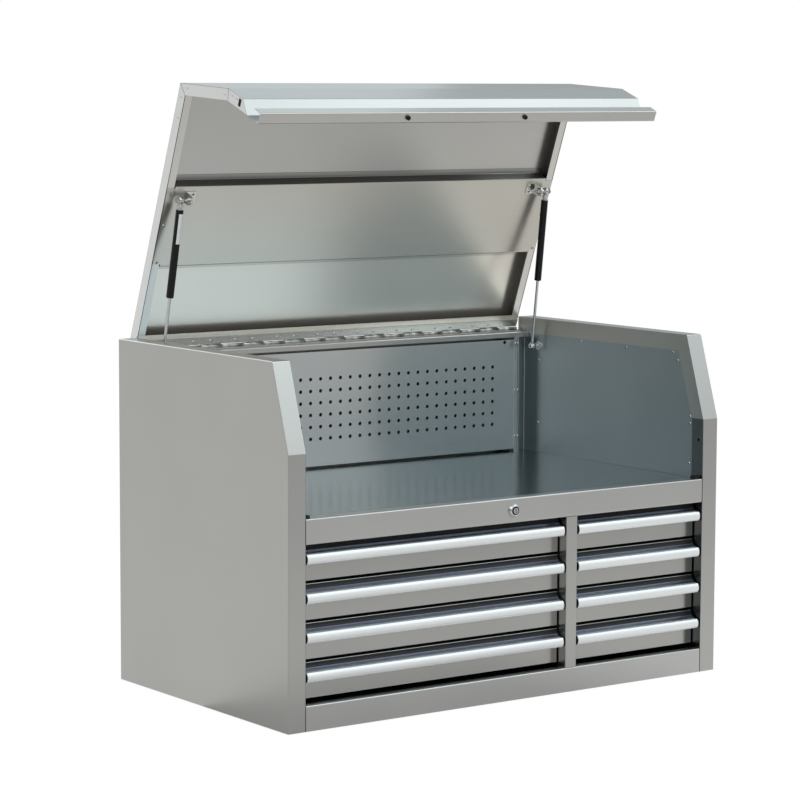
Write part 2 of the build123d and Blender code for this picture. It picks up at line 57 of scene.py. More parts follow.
# ---------------------------------------------------------------- places read from the frame
side_low, side_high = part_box("side_panel_right")
front = side_low[1]
rear = side_high[1]
height = side_high[2]
inner_x = side_low[0]
liner_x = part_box("side_liner_right")[0][0]
lid_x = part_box("lid_shell")[1][0]
hinge_y, hinge_z = joint["lid_hinge"]["pos_m"][1:]
lid_swing = Quaternion((1, 0, 0), -math.radians(joint["lid_hinge"]["range_deg"][1]))
hinge_place = Vector((0, hinge_y, hinge_z))
knuckle_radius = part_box("hinge_fixed_leaf")[1][2] - hinge_z
skirt_z = hinge_z + knuckle_radius
sheet = 1.2 * MM
leaf = 1.45 * MM  # hinge leaf
TOP_BEND = 1.6 * MM  # bend along the sides' top edge, and the width of the painted highlight along it
NOSE_Y = 131.5 * MM  # how far back the lid's front bends reach while it stands open
BEHIND_STIFFENER = 880 * MM  # height where the stiffener hides the lid's sheet while it stands open
SLOPE_FOOT = 520 * MM  # where the sides' front corner starts to slope
STIFFENER_FLANGE = 12 * MM
STIFFENER_SLANT = 4 * MM
LID_RETURN = 26 * MM  # lid's rear return, from its rear face
SKIRT_INSIDE = (0.8 * MM, 1.35 * MM)  # depths under a lid end's outer face that hold its inner face
FAR = 9.0  # past every piece


def lid_spot(x, y, z):
    """Point given on the shut lid, carried to where the lid stands open."""
    return hinge_place + lid_swing @ (Vector((x, y, z)) - hinge_place)


def lid_facing(x, y, z):
    """Direction given on the shut lid, turned as the lid stands open."""
    return lid_swing @ Vector((x, y, z))


# levels along the lid's own directions
lid_up = lid_facing(0, 0, 1)
lid_back = lid_facing(0, 1, 0)
lid_top = lid_spot(0, 0, height).dot(lid_up)
lid_foot = lid_spot(0, 0, skirt_z).dot(lid_up)
lid_rear = max(lid_back.dot(vert.co) for vert in nodes["lid_shell"].data.vertices)
stiffener_start = min(lid_back.dot(vert.co) for vert in nodes["lid_stiffener"].data.vertices) + STIFFENER_FLANGE


# ---------------------------------------------------------------- node helpers
def add(tree, kind, inputs=None, **settings):
    node = tree.nodes.new(kind)
    for key, value in settings.items():
        setattr(node, key, value)
    for key, value in (inputs or {}).items():
        if isinstance(value, bpy.types.NodeSocket):
            tree.links.new(value, node.inputs[key])
        else:
            node.inputs[key].default_value = value
    return node


def maths(tree, operation, first, second=0.0):
    return add(tree, "ShaderNodeMath", {0: first, 1: second}, operation=operation).outputs["Value"]


def blend(tree, share, first, second):
    """Mixes two colours, each a plain triple or a socket."""
    pair = [value if isinstance(value, bpy.types.NodeSocket) else (*value, 1.0) for value in (first, second)]
    return add(tree, "ShaderNodeMix", {0: share, 6: pair[0], 7: pair[1]}, data_type="RGBA").outputs[2]


def spread(tree, value, low, high, start=0.3, stop=0.7):
    """Carries start to stop over to low to high, held at both ends."""
    return add(tree, "ShaderNodeMapRange", {
        "Value": value, "From Min": start, "From Max": stop, "To Min": low, "To Max": high,
    }).outputs["Result"]


def object_place(tree):
    return add(tree, "ShaderNodeTexCoord").outputs["Object"]


def noise(tree, place, scale, detail=2.0):
    return add(tree, "ShaderNodeTexNoise", {"Vector": place, "Scale": scale, "Detail": detail}).outputs["Fac"]


def blank_material(name):
    material = bpy.data.materials.new(name)
    material.use_nodes = True
    material.node_tree.nodes.clear()
    return material, material.node_tree


def surfaced(material, tree, inputs):
    """Ends a material in one Principled surface."""
    skin = add(tree, "ShaderNodeBsdfPrincipled", inputs)
    out = add(tree, "ShaderNodeOutputMaterial")
    tree.links.new(skin.outputs["BSDF"], out.inputs["Surface"])
    return material


# ---------------------------------------------------------------- finishes
GRAIN_LENGTH = 0.006  # streak's scale along the rolling direction, as a share of its scale across
FINE_GRAIN = 950.0
BROAD_GRAIN = 230.0
GRAIN_SHIFT = (3.1, 1.7, 0.4)  # sets the broad streaks apart from the fine ones
GRAIN_RANGE = (0.7, 1.3)  # both streaks added up
CLOUD_SIZE = 5.0
ROUGH_SWING = 0.005
LENGTHWISE = (1.0, 0.03, 0.02)  # rolling direction, a little askew so that no face lies square to it
TEXTURE_DEPTH = 0.3 * MM


def grain(tree, along, fine, offset=(0, 0, 0)):
    """Streaks that run along one axis, or level round a folded side: coarse along, fine across."""
    scale = [fine * GRAIN_LENGTH if axis in along else fine for axis in "xyz"]
    turned_place = add(tree, "ShaderNodeMapping", {
        "Vector": object_place(tree), "Scale": scale, "Location": offset,
    })
    return noise(tree, turned_place.outputs["Vector"], 1.0)


def measured(tree, way):
    """Distance from the middle along x or y, height, or distance along a direction."""
    place = object_place(tree)
    if not isinstance(way, str):
        return add(tree, "ShaderNodeVectorMath", {0: place, 1: way}, operation="DOT_PRODUCT").outputs["Value"]
    value = add(tree, "ShaderNodeSeparateXYZ", {"Vector": place}).outputs[way]
    return value if way == "Z" else maths(tree, "ABSOLUTE", value)


def brushed_metal(name, colour, rough, along="x", streak=0.007, mottle=0.018, stretch=0.6, zones=(), metal=1.0):
    """Brushed sheet: fine and broad streaks along the rolling direction, faint cloudy mottling.
    A zone is a list of (way, start, stop) limits and the colour painted on the sheet between them; on some sheets
    that colour is painted light or shade."""
    material, tree = blank_material(name)
    mixed = maths(tree, "ADD", grain(tree, along, FINE_GRAIN), grain(tree, along, BROAD_GRAIN, GRAIN_SHIFT))
    clouds = spread(tree, noise(tree, object_place(tree), CLOUD_SIZE, 3.0), 1.0 - mottle, 1.0 + mottle)
    gain = maths(tree, "ADD", clouds, spread(tree, mixed, -streak, streak, *GRAIN_RANGE))
    tone = colour
    for limits, zone_paint in zones:
        within = 1.0
        for way, start, stop in limits:
            value = measured(tree, way)
            within = maths(tree, "MULTIPLY", within, maths(tree, "GREATER_THAN", value, start))
            within = maths(tree, "MULTIPLY", within, maths(tree, "LESS_THAN", value, stop))
        tone = blend(tree, within, tone, zone_paint)
    shade = add(tree, "ShaderNodeVectorMath", {0: tone, "Scale": gain}, operation="SCALE")
    if along == "x":
        shape = add(tree, "ShaderNodeNewGeometry")
        across = add(tree, "ShaderNodeVectorMath", {0: shape.outputs["Normal"], 1: LENGTHWISE},
                     operation="CROSS_PRODUCT").outputs["Vector"]
    else:
        across = add(tree, "ShaderNodeCombineXYZ", {"X": 0.02, "Y": 0.03, "Z": 1.0}).outputs["Vector"]
    return surfaced(material, tree, {
        "Base Color": shade.outputs["Vector"], "Metallic": metal, "Anisotropic": stretch, "Tangent": across,
        "Roughness": spread(tree, mixed, rough - ROUGH_SWING, rough + ROUGH_SWING, *GRAIN_RANGE),
    })


def plain_metal(name, colour, rough, speck=0.03, size=400.0):
    """Plated or polished metal with faint specks and wear."""
    material, tree = blank_material(name)
    specks = noise(tree, object_place(tree), size, 3.0)
    gain = spread(tree, specks, 1.0 - speck, 1.0 + speck)
    shade = add(tree, "ShaderNodeVectorMath", {0: colour, "Scale": gain}, operation="SCALE")
    return surfaced(material, tree, {
        "Base Color": shade.outputs["Vector"], "Metallic": 1.0,
        "Roughness": spread(tree, specks, rough * 0.85, rough * 1.15),
    })


def coated(name, colour, rough, gloss=0.5, texture=0.1, size=900.0, speck=0.12):
    """Paint, rubber or moulded plastic: fine surface texture, slight tone change."""
    material, tree = blank_material(name)
    specks = noise(tree, object_place(tree), size)
    gain = spread(tree, specks, 1.0 - speck, 1.0 + speck)
    shade = add(tree, "ShaderNodeVectorMath", {0: colour, "Scale": gain}, operation="SCALE")
    bump = add(tree, "ShaderNodeBump", {"Strength": texture, "Distance": TEXTURE_DEPTH, "Height": specks})
    return surfaced(material, tree, {
        "Base Color": shade.outputs["Vector"], "Normal": bump.outputs["Normal"], "Specular IOR Level": gloss,
        "Roughness": spread(tree, specks, rough - 0.05, rough + 0.05),
    })


FACE_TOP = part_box("drawer_left_1_pull")[1][2]
ROW_PITCH = FACE_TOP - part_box("drawer_left_2_pull")[1][2]
PULL_ENDS = [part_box(f"drawer_{bank}_1_pull")[end][0] for bank in ("left", "right") for end in (0, 1)]
PULL_CAP = 2.1 * MM
PULL_STRIP = 8.8 * MM  # face top to the crease in the cove
PULL_LIP = 14.2 * MM  # face top to the bright lip
PULL_BLUR = 0.4 * MM
LIP_SHEEN = 0.32  # how much less metallic the satin lip is than the cove's ledge
# painted light on the pulls: the cove is painted near black as painted shade; the ledge is painted blue-grey as a
# painted reflection of the sky, darker towards the cove
COVE_PAINTED_SHADE = (0.016, 0.016, 0.016)
LEDGE_SKY_SHADED = (0.20, 0.225, 0.28)
LEDGE_SKY_REFLECTION = (0.66, 0.73, 0.90)
LIP_SATIN = (0.93, 0.95, 0.95)
CAP_BLACK = (0.010, 0.010, 0.011)


def pull_extrusion():
    """Bright satin lip, a ledge above it painted blue-grey as a painted reflection of the sky, and a cove above that
    painted dark as painted shade; black moulded caps on the ends.
    """
    material, tree = blank_material("pull_aluminium_extrusion")
    at = add(tree, "ShaderNodeSeparateXYZ", {"Vector": object_place(tree)})
    down = maths(tree, "MODULO", maths(tree, "SUBTRACT", FACE_TOP, at.outputs["Z"]), ROW_PITCH)
    lower = spread(tree, down, 0.0, 1.0, PULL_STRIP - PULL_BLUR, PULL_STRIP + PULL_BLUR)
    lip = spread(tree, down, 0.0, 1.0, PULL_LIP - PULL_BLUR, PULL_LIP + PULL_BLUR)
    lines = grain(tree, "x", 900.0)
    outward = spread(tree, down, 0.0, 1.0, PULL_STRIP, PULL_LIP)
    ledge = blend(tree, outward, LEDGE_SKY_SHADED, LEDGE_SKY_REFLECTION)
    cove = blend(tree, lower, COVE_PAINTED_SHADE, ledge)
    tone = blend(tree, lip, cove, LIP_SATIN)
    gain = spread(tree, lines, 0.985, 1.015)
    shade = add(tree, "ShaderNodeVectorMath", {0: tone, "Scale": gain}, operation="SCALE")
    ends = 0.0
    for end in PULL_ENDS:
        near = maths(tree, "ABSOLUTE", maths(tree, "SUBTRACT", at.outputs["X"], end))
        ends = maths(tree, "MAXIMUM", ends, maths(tree, "LESS_THAN", near, PULL_CAP))
    bare = maths(tree, "SUBTRACT", lower, maths(tree, "MULTIPLY", lip, LIP_SHEEN))
    return surfaced(material, tree, {
        "Base Color": blend(tree, ends, shade.outputs["Vector"], CAP_BLACK),
        "Metallic": maths(tree, "MULTIPLY", bare, maths(tree, "SUBTRACT", 1.0, ends)),
        "Roughness": spread(tree, lip, 0.28, 0.48, 0.0, 1.0),
        "Specular IOR Level": spread(tree, lip, 0.15, 0.5, 0.0, 1.0),
    })


NECK = 19.5 * MM  # bare length from the upper eye
NECK_STEEL = (0.55, 0.55, 0.54)


def strut_paint(side):
    """Black painted cylinder with a bare bright neck and eye at its upper end."""
    material, tree = blank_material(f"strut_{side}_black")
    eye = joint[f"strut_{side}_swing"]["pos_m"]
    axis = joint[f"strut_{side}_stroke"]["axis"]
    from_eye = add(tree, "ShaderNodeVectorMath", {0: object_place(tree), 1: eye}, operation="SUBTRACT")
    run = add(tree, "ShaderNodeVectorMath", {0: from_eye.outputs["Vector"], 1: axis}, operation="DOT_PRODUCT")
    bare = maths(tree, "LESS_THAN", run.outputs["Value"], NECK)
    specks = noise(tree, object_place(tree), 500.0)
    shade = spread(tree, specks, 0.0045, 0.0075)
    black = add(tree, "ShaderNodeCombineColor", {"Red": shade, "Green": shade, "Blue": shade}).outputs["Color"]
    return surfaced(material, tree, {
        "Base Color": blend(tree, bare, black, NECK_STEEL), "Metallic": bare,
        "Roughness": spread(tree, specks, 0.22, 0.30), "Specular IOR Level": 0.25,
    })


STEEL = (0.500, 0.500, 0.478)
shell_lengthwise = brushed_metal("shell_steel_lengthwise", STEEL, 0.29)
# zones: the lid's front bends, painted darker as painted shade; its inside below the stiffener, painted brighter and
# warmer as painted light; the inside of its rear return, painted near black as painted shade
lid_steel = brushed_metal("shell_steel_lid", (0.552, 0.542, 0.510), 0.29, stretch=0.4, metal=0.86, zones=[
    ([("Y", -FAR, NOSE_Y)], (0.445, 0.450, 0.440)),
    ([("Z", -FAR, BEHIND_STIFFENER), (lid_up, -FAR, lid_top - sheet / 2)], (0.830, 0.775, 0.690)),
    ([(lid_back, lid_rear - LID_RETURN, lid_rear - sheet / 2), (lid_up, lid_foot + sheet / 2, lid_top - 2 * sheet)],
     (0.06, 0.06, 0.06)),
])
# zones: the upper flange and the slanted flank under it, both painted darker as painted shade
stiffener_steel = brushed_metal("shell_steel_stiffener", (0.626, 0.598, 0.535), 0.29, stretch=0.4, metal=0.86, zones=[
    ([(lid_back, -FAR, stiffener_start - sheet)], (0.34, 0.335, 0.32)),
    ([(lid_back, stiffener_start - sheet, stiffener_start + STIFFENER_SLANT - sheet / 4)], (0.17, 0.17, 0.165)),
])
# zones: the inner fold, painted lighter and warmer as a painted reflection; its lower part, painted dark as painted
# shade; a painted highlight along the bend at the top edge
shell_sides = brushed_metal("shell_steel_sides", STEEL, 0.28, "xy", zones=[
    ([("X", -FAR, inner_x + sheet / 2)], (0.60, 0.60, 0.57)),
    ([("X", -FAR, inner_x + sheet / 2), ("Z", -FAR, SLOPE_FOOT)], (0.20, 0.21, 0.21)),
    ([("X", side_high[0] - TOP_BEND, FAR), ("Z", height - TOP_BEND, FAR)], (0.95, 0.95, 0.93)),
])
rail_steel = brushed_metal("shell_steel_rails", (0.56, 0.56, 0.545), 0.28)
# zones: the inner returns; the inside of the outer wall, painted near black as painted shade
lid_end_steel = brushed_metal("shell_steel_lid_ends", (0.85, 0.86, 0.85), 0.30, "xy", zones=[
    ([("X", -FAR, lid_x - SKIRT_INSIDE[1])], (0.70, 0.67, 0.63)),
    ([("X", lid_x - SKIRT_INSIDE[1], lid_x - SKIRT_INSIDE[0])], (0.12, 0.12, 0.12)),
])
pegboard_steel = brushed_metal("inner_steel_pegboard", (0.610, 0.640, 0.635), 0.23, streak=0.008)
inner_steel = brushed_metal("inner_steel_sheet", (0.370, 0.418, 0.446), 0.19, streak=0.004, stretch=0.0)
liner_steel = brushed_metal("inner_steel_liners", (0.455, 0.518, 0.545), 0.32, "xy", streak=0.006)
drawer_steel = brushed_metal("drawer_steel_sheet", (0.455, 0.455, 0.435), 0.24)
hinge_steel = plain_metal("hinge_steel_plain", (0.50, 0.50, 0.48), 0.24, 0.004, 120.0)
slide_zinc = plain_metal("slide_zinc_plate", (0.50, 0.52, 0.54), 0.35, 0.10, 160.0)
stud_steel = plain_metal("stud_steel_bright", (0.62, 0.62, 0.60), 0.11)
rivet_steel = plain_metal("rivet_steel_bright", (0.74, 0.74, 0.72), 0.20)
chrome = plain_metal("chrome_bright", (0.58, 0.59, 0.60), 0.04)
rubber = coated("rubber_black", (0.012, 0.012, 0.013), 0.60, 0.3, 0.25)
# dark joints, and black pieces put as painted shade in recesses, behind holes and in the lock's groove
joint_and_shade_dark = coated("seam_shadow_dark", (0.006, 0.006, 0.006), 0.70, 0.1)
label_white = coated("label_white_paper", (0.80, 0.80, 0.82), 0.55, 0.3, 0.03)
pull_aluminium = pull_extrusion()

FINISH = {
    "shell_steel": shell_lengthwise, "inner_steel": inner_steel, "drawer_steel": drawer_steel,
    "hinge_steel": hinge_steel, "slide_zinc": slide_zinc, "stud_steel": stud_steel,
    "pull_aluminium": pull_aluminium, "chrome": chrome, "rubber": rubber,
}
OWN_FINISH = {
    "side_panel_left": shell_sides, "side_panel_right": shell_sides,
    "side_liner_left": liner_steel, "side_liner_right": liner_steel,
    "lid_end_left": lid_end_steel, "lid_end_right": lid_end_steel,
    "top_rail": rail_steel, "bottom_rail": rail_steel,
    "lid_shell": lid_steel, "lid_stiffener": stiffener_steel,
    "pegboard_panel": pegboard_steel, "pegboard_posts": pegboard_steel,
    "strut_left_cylinder": strut_paint("left"), "strut_right_cylinder": strut_paint("right"),
}
for row in frame["record"]["subparts"]:
    finish = OWN_FINISH.get(row["node"]) or FINISH[row["material_slot"]]
    for slot in nodes[row["node"]].material_slots:
        slot.material = finish


# ---------------------------------------------------------------- fasteners by Geometry Nodes
def head_shape(tree, shape, radius, rise):
    """One head at the origin, facing up: a rivet's dome, a screw's low dome, a hex nut, a disc, a smooth barrel
    or a hole's rim."""
    size = add(tree, "ShaderNodeCombineXYZ", {"X": radius, "Y": radius, "Z": rise}).outputs["Vector"]
    if shape == "rim":
        circle = add(tree, "GeometryNodeCurvePrimitiveCircle", {"Resolution": 12, "Radius": radius})
        wire = add(tree, "GeometryNodeCurvePrimitiveCircle", {"Resolution": 4, "Radius": rise})
        return add(tree, "GeometryNodeCurveToMesh", {
            "Curve": circle.outputs["Curve"], "Profile Curve": wire.outputs["Curve"],
        }).outputs["Mesh"]
    if shape in ("nut", "disc", "barrel"):
        sides = {"nut": 6, "disc": 10, "barrel": 28}[shape]
        bar = add(tree, "GeometryNodeMeshCylinder", {"Vertices": sides, "Radius": 1.0, "Depth": 1.0})
        crisp = add(tree, "GeometryNodeSetShadeSmooth", {"Geometry": bar.outputs["Mesh"], "Shade Smooth": False})
        flank = add(tree, "GeometryNodeSetShadeSmooth", {
            "Geometry": crisp.outputs["Geometry"], "Selection": bar.outputs["Side"],
            "Shade Smooth": shape == "barrel",
        })
        raised = add(tree, "GeometryNodeTransform", {
            "Geometry": flank.outputs["Geometry"], "Translation": (0, 0, 0.5),
        })
        bodies = [raised.outputs["Geometry"]]
        if shape == "nut":
            stud = add(tree, "GeometryNodeMeshCylinder", {"Vertices": 12, "Radius": 0.5, "Depth": 1.5})
            stud = add(tree, "GeometryNodeTransform", {"Geometry": stud.outputs["Mesh"], "Translation": (0, 0, 0.75)})
            bodies.append(stud.outputs["Geometry"])
        joined = add(tree, "GeometryNodeJoinGeometry")
        for body in bodies:
            tree.links.new(body, joined.inputs["Geometry"])
        return add(tree, "GeometryNodeTransform", {
            "Geometry": joined.outputs["Geometry"], "Scale": size,
        }).outputs["Geometry"]
    ball = add(tree, "GeometryNodeMeshUVSphere", {"Segments": 12, "Rings": 6, "Radius": 1.0})
    place = add(tree, "GeometryNodeInputPosition")
    parts = add(tree, "ShaderNodeSeparateXYZ", {"Vector": place.outputs["Position"]})
    above = maths(tree, "MAXIMUM", parts.outputs["Z"], 0.0)
    flat = add(tree, "ShaderNodeCombineXYZ", {"X": parts.outputs["X"], "Y": parts.outputs["Y"], "Z": above})
    dome = add(tree, "GeometryNodeSetPosition", {
        "Geometry": ball.outputs["Mesh"], "Position": flat.outputs["Vector"],
    })
    scaled = add(tree, "GeometryNodeTransform", {"Geometry": dome.outputs["Geometry"], "Scale": size})
    return add(tree, "GeometryNodeSetShadeSmooth", {"Geometry": scaled.outputs["Geometry"]}).outputs["Geometry"]


# driver recess, as shares of the head's radius and rise
RECESS_LONG = 0.55
RECESS_SHORT = 0.14
RECESS_DEPTH = 0.4
RECESS_RISE = 0.88


def cross_recess(tree, radius, rise):
    """Two thin bars that show as the driver recess of a screw; they take a black finish as painted shade in the
    recess.
    """
    joined = add(tree, "GeometryNodeJoinGeometry")
    for length, width in ((RECESS_LONG, RECESS_SHORT), (RECESS_SHORT, RECESS_LONG)):
        bar = add(tree, "GeometryNodeMeshCube", {"Size": (2 * length, 2 * width, RECESS_DEPTH)})
        raised = add(tree, "GeometryNodeTransform", {
            "Geometry": bar.outputs["Mesh"], "Translation": (0, 0, RECESS_RISE),
        })
        tree.links.new(raised.outputs["Geometry"], joined.inputs["Geometry"])
    size = add(tree, "ShaderNodeCombineXYZ", {"X": radius, "Y": radius, "Z": rise})
    return add(tree, "GeometryNodeTransform", {
        "Geometry": joined.outputs["Geometry"], "Scale": size.outputs["Vector"],
    }).outputs["Geometry"]


def heads_tree(shape):
    """Sets one head on every spot, turned to the spot's own facing, and gives it its finish."""
    tree = bpy.data.node_groups.new(f"{shape}_heads", "GeometryNodeTree")
    sockets = (("Spots", "Geometry"), ("Head Radius", "Float"), ("Head Rise", "Float"),
               ("Finish", "Material"), ("Recess Shade Finish", "Material"))
    for label, kind in sockets:
        tree.interface.new_socket(label, in_out="INPUT", socket_type=f"NodeSocket{kind}")
    tree.interface.new_socket("Heads", in_out="OUTPUT", socket_type="NodeSocketGeometry")
    given = add(tree, "NodeGroupInput").outputs
    facing = add(tree, "GeometryNodeInputNamedAttribute", {"Name": "facing"}, data_type="FLOAT_VECTOR")
    turn = add(tree, "FunctionNodeAlignRotationToVector", {"Vector": facing.outputs["Attribute"]}, axis="Z")
    size = (given["Head Radius"], given["Head Rise"])
    layers = [(head_shape(tree, shape, *size), given["Finish"])]
    if shape == "screw":
        layers.append((cross_recess(tree, *size), given["Recess Shade Finish"]))
    joined = add(tree, "GeometryNodeJoinGeometry")
    for head, finish in layers:
        spread_out = add(tree, "GeometryNodeInstanceOnPoints", {
            "Points": given["Spots"], "Instance": head, "Rotation": turn.outputs["Rotation"],
        })
        real = add(tree, "GeometryNodeRealizeInstances", {"Geometry": spread_out.outputs["Instances"]})
        done = add(tree, "GeometryNodeSetMaterial", {"Geometry": real.outputs["Geometry"], "Material": finish})
        tree.links.new(done.outputs["Geometry"], joined.inputs["Geometry"])
    out = add(tree, "NodeGroupOutput")
    tree.links.new(joined.outputs["Geometry"], out.inputs["Heads"])
    return tree


trees = {}


def fasteners(name, shape, spots, size, finish, body):
    """Plain mesh of heads of one (radius, rise) on the (place, facing) spots, riding on one body."""
    mesh = bpy.data.meshes.new(f"{name}_spots")
    mesh.from_pydata([place for place, facing in spots], [], [])
    facings = mesh.attributes.new("facing", "FLOAT_VECTOR", "POINT")
    for index, (place, facing) in enumerate(spots):
        facings.data[index].vector = facing
    holder = bpy.data.objects.new(f"{name}_spots", mesh)
    scene.collection.objects.link(holder)
    if shape not in trees:
        trees[shape] = heads_tree(shape)
    given = {"Head Radius": size[0], "Head Rise": size[1], "Finish": finish, "Recess Shade Finish": joint_and_shade_dark}
    modifier = holder.modifiers.new("heads", "NODES")
    modifier.node_group = trees[shape]
    for socket in trees[shape].interface.items_tree:
        if socket.in_out == "INPUT" and socket.name in given:
            modifier[socket.identifier] = given[socket.name]
    graph = bpy.context.evaluated_depsgraph_get()
    solid = bpy.data.meshes.new_from_object(holder.evaluated_get(graph))
    holder.modifiers.clear()
    bpy.data.objects.remove(holder)
    solid.name = name
    piece = bpy.data.objects.new(name, solid)
    scene.collection.objects.link(piece)
    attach(piece, body)


RIVET_HEAD = (3.3 * MM, 1.3 * MM)
LID_SCREW_HEAD = (3.4 * MM, 1.6 * MM)
TILL_SCREW_HEAD = (3.3 * MM, 1.5 * MM)
BRACKET_NUT = (7.2 * MM, 5.0 * MM)
STUD_NUT = (7.5 * MM, 4.5 * MM)

KNUCKLES = 19
KNUCKLE_PITCH = 2 * lid_x / KNUCKLES
KNUCKLE_INSET = 0.8 * MM
KNUCKLE_SKIN = 0.06 * MM  # how far a bright sleeve stands out from its knuckle
LEAF_RIVET_PAIRS = 9
LEAF_PAIR_PITCH = 2 * KNUCKLE_PITCH
LEAF_FIRST_PAIR = 52 * MM
LEAF_PAIR_HALF = 20.8 * MM
LEAF_RIVET_REACH = 11.5 * MM
leaf_rivets = []
for pair in range(LEAF_RIVET_PAIRS):
    for side in SIDES:
        x = -lid_x + LEAF_FIRST_PAIR + pair * LEAF_PAIR_PITCH + side * LEAF_PAIR_HALF
        leaf_rivets.append((lid_spot(x, hinge_y - LEAF_RIVET_REACH, skirt_z - leaf), lid_facing(0, 0, -1)))

sleeve = (knuckle_radius + KNUCKLE_SKIN, KNUCKLE_PITCH - 2 * KNUCKLE_INSET)
for first, body, owner in ((0, "cabinet", "fixed"), (1, "lid", "lid")):
    sleeves = []
    for index in range(first, KNUCKLES, 2):
        start = -lid_x + index * KNUCKLE_PITCH + KNUCKLE_INSET
        sleeves.append((Vector((start, hinge_y, hinge_z)), Vector((1, 0, 0))))
    fasteners(f"{owner}_knuckles", "barrel", sleeves, sleeve, hinge_steel, body)

# shut lid's end rivets, in millimetres behind the front and above the base
SKIRT_RIVETS = ((53, 661.5), (77, 676), (119, 673.5), (14.8, 531), (8.3, 506), (8, 489.5))
skirt_rivets = []
for side in SIDES:
    for back, up in SKIRT_RIVETS:
        skirt_rivets.append((lid_spot(side * lid_x, front + back * MM, up * MM), lid_facing(side, 0, 0)))
fasteners("lid_rivets", "rivet", leaf_rivets + skirt_rivets, RIVET_HEAD, rivet_steel, "lid")

TAB_SCREW_X = 473 * MM
TAB_SCREW_REACH = (271 * MM, 192 * MM)
BRACKET_SCREW_X = 421 * MM
BRACKET_SCREW_HALF = 6 * MM
BRACKET_REACH = 332 * MM
BRACKET_SHEET = 2.5 * MM
lid_screws = []
for side in SIDES:
    for reach in TAB_SCREW_REACH:
        lid_screws.append((lid_spot(side * TAB_SCREW_X, hinge_y - reach, skirt_z - sheet), lid_facing(0, 0, -1)))
    for half in SIDES:
        y = hinge_y - BRACKET_REACH + half * BRACKET_SCREW_HALF
        z = skirt_z - sheet - BRACKET_SHEET
        lid_screws.append((lid_spot(side * BRACKET_SCREW_X, y, z), lid_facing(0, 0, -1)))
fasteners("lid_screws", "screw", lid_screws, LID_SCREW_HEAD, rivet_steel, "lid")

# side liners' screws, in millimetres behind the chest's middle and above the base
LINER_SCREWS = (
    (90, 649), (-59, 648), (-207, 649), (-223, 634), (-263, 523), (-263, 508), (-262, 426), (233, 597), (234, 461),
)
POST_SCREW_X = (449.8 * MM, 457.2 * MM)
POST_SCREW_Z = (633 * MM, 531 * MM, 430 * MM)
post_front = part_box("pegboard_posts")[0][1]
till_screws = []
for side in SIDES:
    for y, z in LINER_SCREWS:
        till_screws.append((Vector((side * liner_x, y * MM, z * MM)), Vector((-side, 0, 0))))
    for x in POST_SCREW_X:
        for z in POST_SCREW_Z:
            till_screws.append((Vector((side * x, post_front, z)), Vector((0, -1, 0))))
fasteners("till_screws", "screw", till_screws, TILL_SCREW_HEAD, rivet_steel, "cabinet")

REAR_RIVETS = 7
REAR_RIVET_INSET = 17 * MM
REAR_RIVET_LOW = 60 * MM
rear_rivets = []
for side in SIDES:
    for step in range(REAR_RIVETS):
        z = REAR_RIVET_LOW + step * (height - 2 * REAR_RIVET_LOW) / (REAR_RIVETS - 1)
        rear_rivets.append((Vector((side * (inner_x + REAR_RIVET_INSET), rear, z)), Vector((0, 1, 0))))
fasteners("rear_rivets", "rivet", rear_rivets, RIVET_HEAD, rivet_steel, "cabinet")

BRACKET_PLATE_X = 436.7 * MM
BRACKET_STUD_DROP = 40.5 * MM  # below the shut lid's top
STUD_NUT_INSET = 2 * MM
stud_low, stud_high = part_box("strut_lower_studs")
stud_y = (stud_low[1] + stud_high[1]) / 2
stud_z = (stud_low[2] + stud_high[2]) / 2
upper_nuts = []
lower_nuts = []
for side in SIDES:
    y = hinge_y - BRACKET_REACH
    upper_nuts.append((lid_spot(side * BRACKET_PLATE_X, y, height - BRACKET_STUD_DROP), lid_facing(-side, 0, 0)))
    lower_nuts.append((Vector((side * (liner_x - STUD_NUT_INSET), stud_y, stud_z)), Vector((-side, 0, 0))))
fasteners("bracket_nuts", "nut", upper_nuts, BRACKET_NUT, stud_steel, "lid")
fasteners("stud_nuts", "nut", lower_nuts, STUD_NUT, stud_steel, "cabinet")

PEG_PITCH = 25 * MM
PEG_COLUMNS = 32
PEG_ROWS = 6
PEG_TOP_MARGIN = 56.8 * MM
PEG_HOLE = 3.6 * MM
PEG_HANGER = (420 * MM, 5 * MM)  # hanging hole: from the middle, below the top edge
PEG_RIM = (PEG_HOLE + 0.4 * MM, 0.35 * MM)
HOLE_SHADE = (PEG_HOLE + 0.2 * MM, 0.4 * MM)
SHADE_GAP = 0.45 * MM  # behind the panel
LATCH_FROM_FRONT = 14 * MM
LATCH_Z = 477 * MM
BUMPER_X = 143 * MM
BUMPER_FROM_FRONT = 13.4 * MM
LID_BOTTOM = 404 * MM
peg_low, peg_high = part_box("pegboard_panel")
peg_rims = []
dark_holes = []
for column in range(PEG_COLUMNS):
    for row in range(PEG_ROWS):
        x = (column - (PEG_COLUMNS - 1) / 2) * PEG_PITCH
        z = peg_high[2] - PEG_TOP_MARGIN - row * PEG_PITCH
        peg_rims.append((Vector((x, peg_low[1], z)), Vector((0, -1, 0))))
        dark_holes.append((Vector((x, peg_high[1] + SHADE_GAP, z)), Vector((0, -1, 0))))
for side in SIDES:
    hanger = Vector((side * PEG_HANGER[0], peg_low[1], peg_high[2] - PEG_HANGER[1]))
    latch = Vector((side * liner_x, front + LATCH_FROM_FRONT, LATCH_Z))
    dark_holes += [(hanger, Vector((0, -1, 0))), (latch, Vector((-side, 0, 0)))]
fasteners("peg_rims", "rim", peg_rims, PEG_RIM, inner_steel, "cabinet")
fasteners("hole_shades", "disc", dark_holes, HOLE_SHADE, joint_and_shade_dark, "cabinet")


